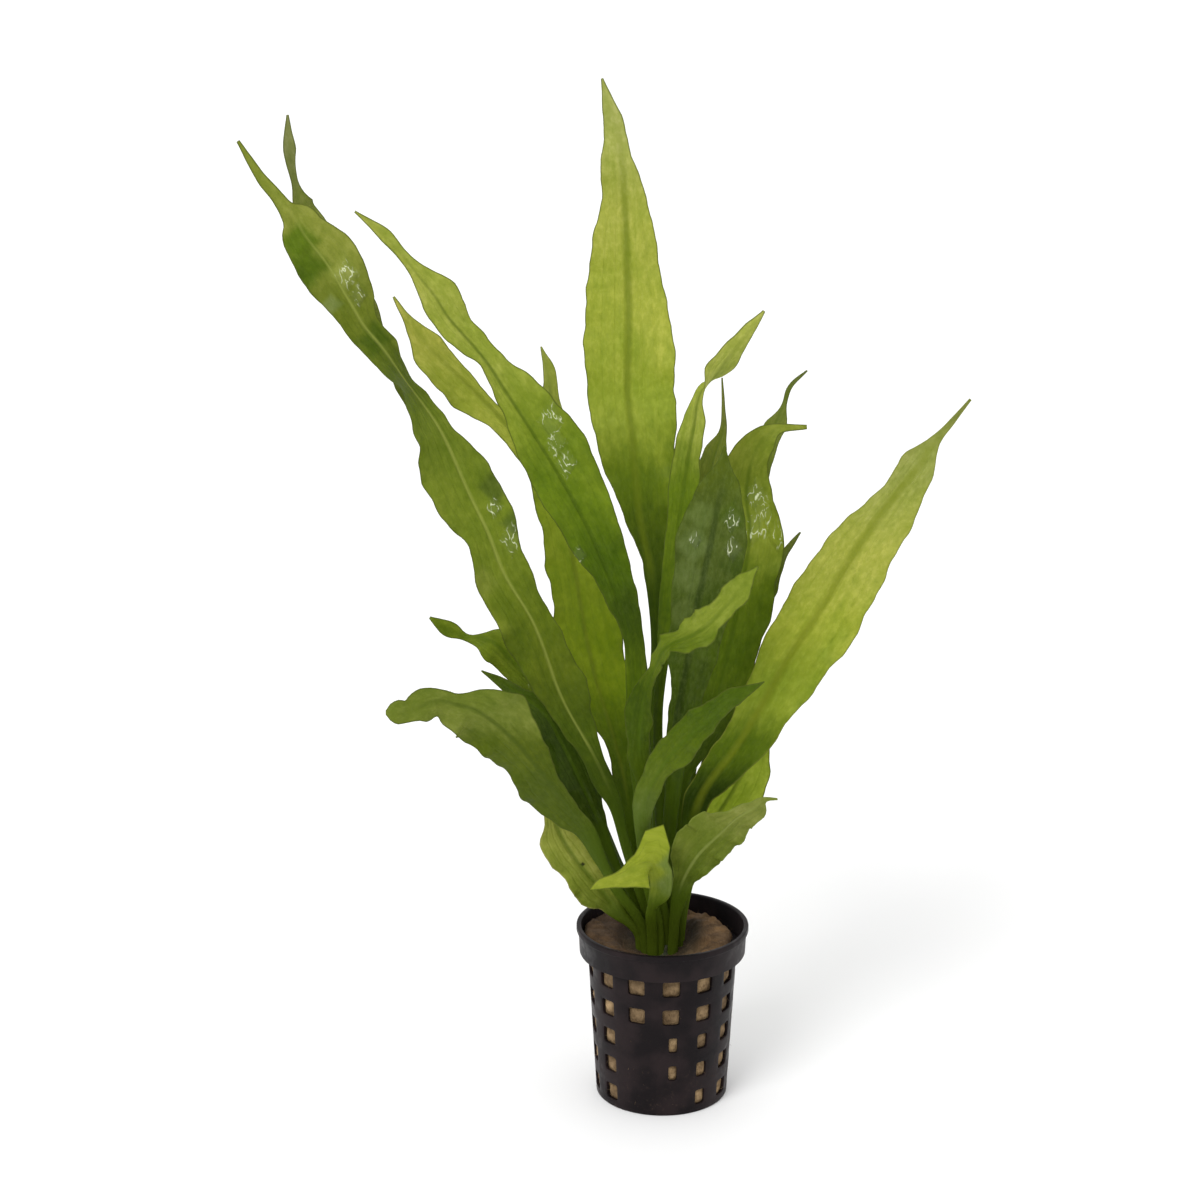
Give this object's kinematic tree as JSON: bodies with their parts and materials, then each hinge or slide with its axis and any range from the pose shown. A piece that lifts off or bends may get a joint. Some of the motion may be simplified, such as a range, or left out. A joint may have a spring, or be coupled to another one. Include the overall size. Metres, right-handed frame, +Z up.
{
  "type": "potted aquarium sword plant",
  "caption": "Aquarium sword plant: a loose rosette of long pointed green leaves on thin stalks, rooted in brown growing wool in a small black net pot.",
  "frame": {"origin": "centre of the net pot's flat bottom", "axes": "+Z up along the pot's axis, -Y towards the plant's front as the picture shows it, +X to its right"},
  "size_m": [0.2118, 0.1449, 0.312],
  "materials": {
    "pot_plastic": "satin black, slightly brown",
    "growing_wool": "damp brown mineral fibre",
    "rootstock": "dull fibrous",
    "leaf_pale": "satin pale yellow-green leaf",
    "leaf_middle": "damp mid-green leaf",
    "leaf_dark": "glossy dark green leaf",
    "leaf_dull": "dull grey-green leaf underside",
    "leaf_bright": "satin bright young leaf"
  },
  "bodies": {
    "root": {"net_pot": "pot_plastic", "wool": "growing_wool", "crown": "rootstock", "tall_centre_leaf": "leaf_pale", "long_left_leaf": "leaf_middle", "long_left_rear_leaf": "leaf_middle", "left_front_leaf": "leaf_middle", "left_pale_leaf": "leaf_pale", "back_left_leaf": "leaf_middle", "centre_right_leaf": "leaf_middle", "back_needle_leaf": "leaf_dark", "dark_glossy_leaf": "leaf_dark", "right_wide_leaf": "leaf_middle", "back_right_leaf": "leaf_dark", "back_right_low_leaf": "leaf_dark", "long_right_leaf": "leaf_pale", "low_right_rear_leaf": "leaf_pale", "low_right_leaf": "leaf_dark", "curled_centre_leaf": "leaf_middle", "curled_right_leaf": "leaf_middle", "curly_left_leaf": "leaf_pale", "drooping_left_leaf": "leaf_dull", "shaded_left_leaf": "leaf_dark", "low_left_leaf": "leaf_pale", "small_front_leaf": "leaf_bright"}
  },
  "joints": []
}
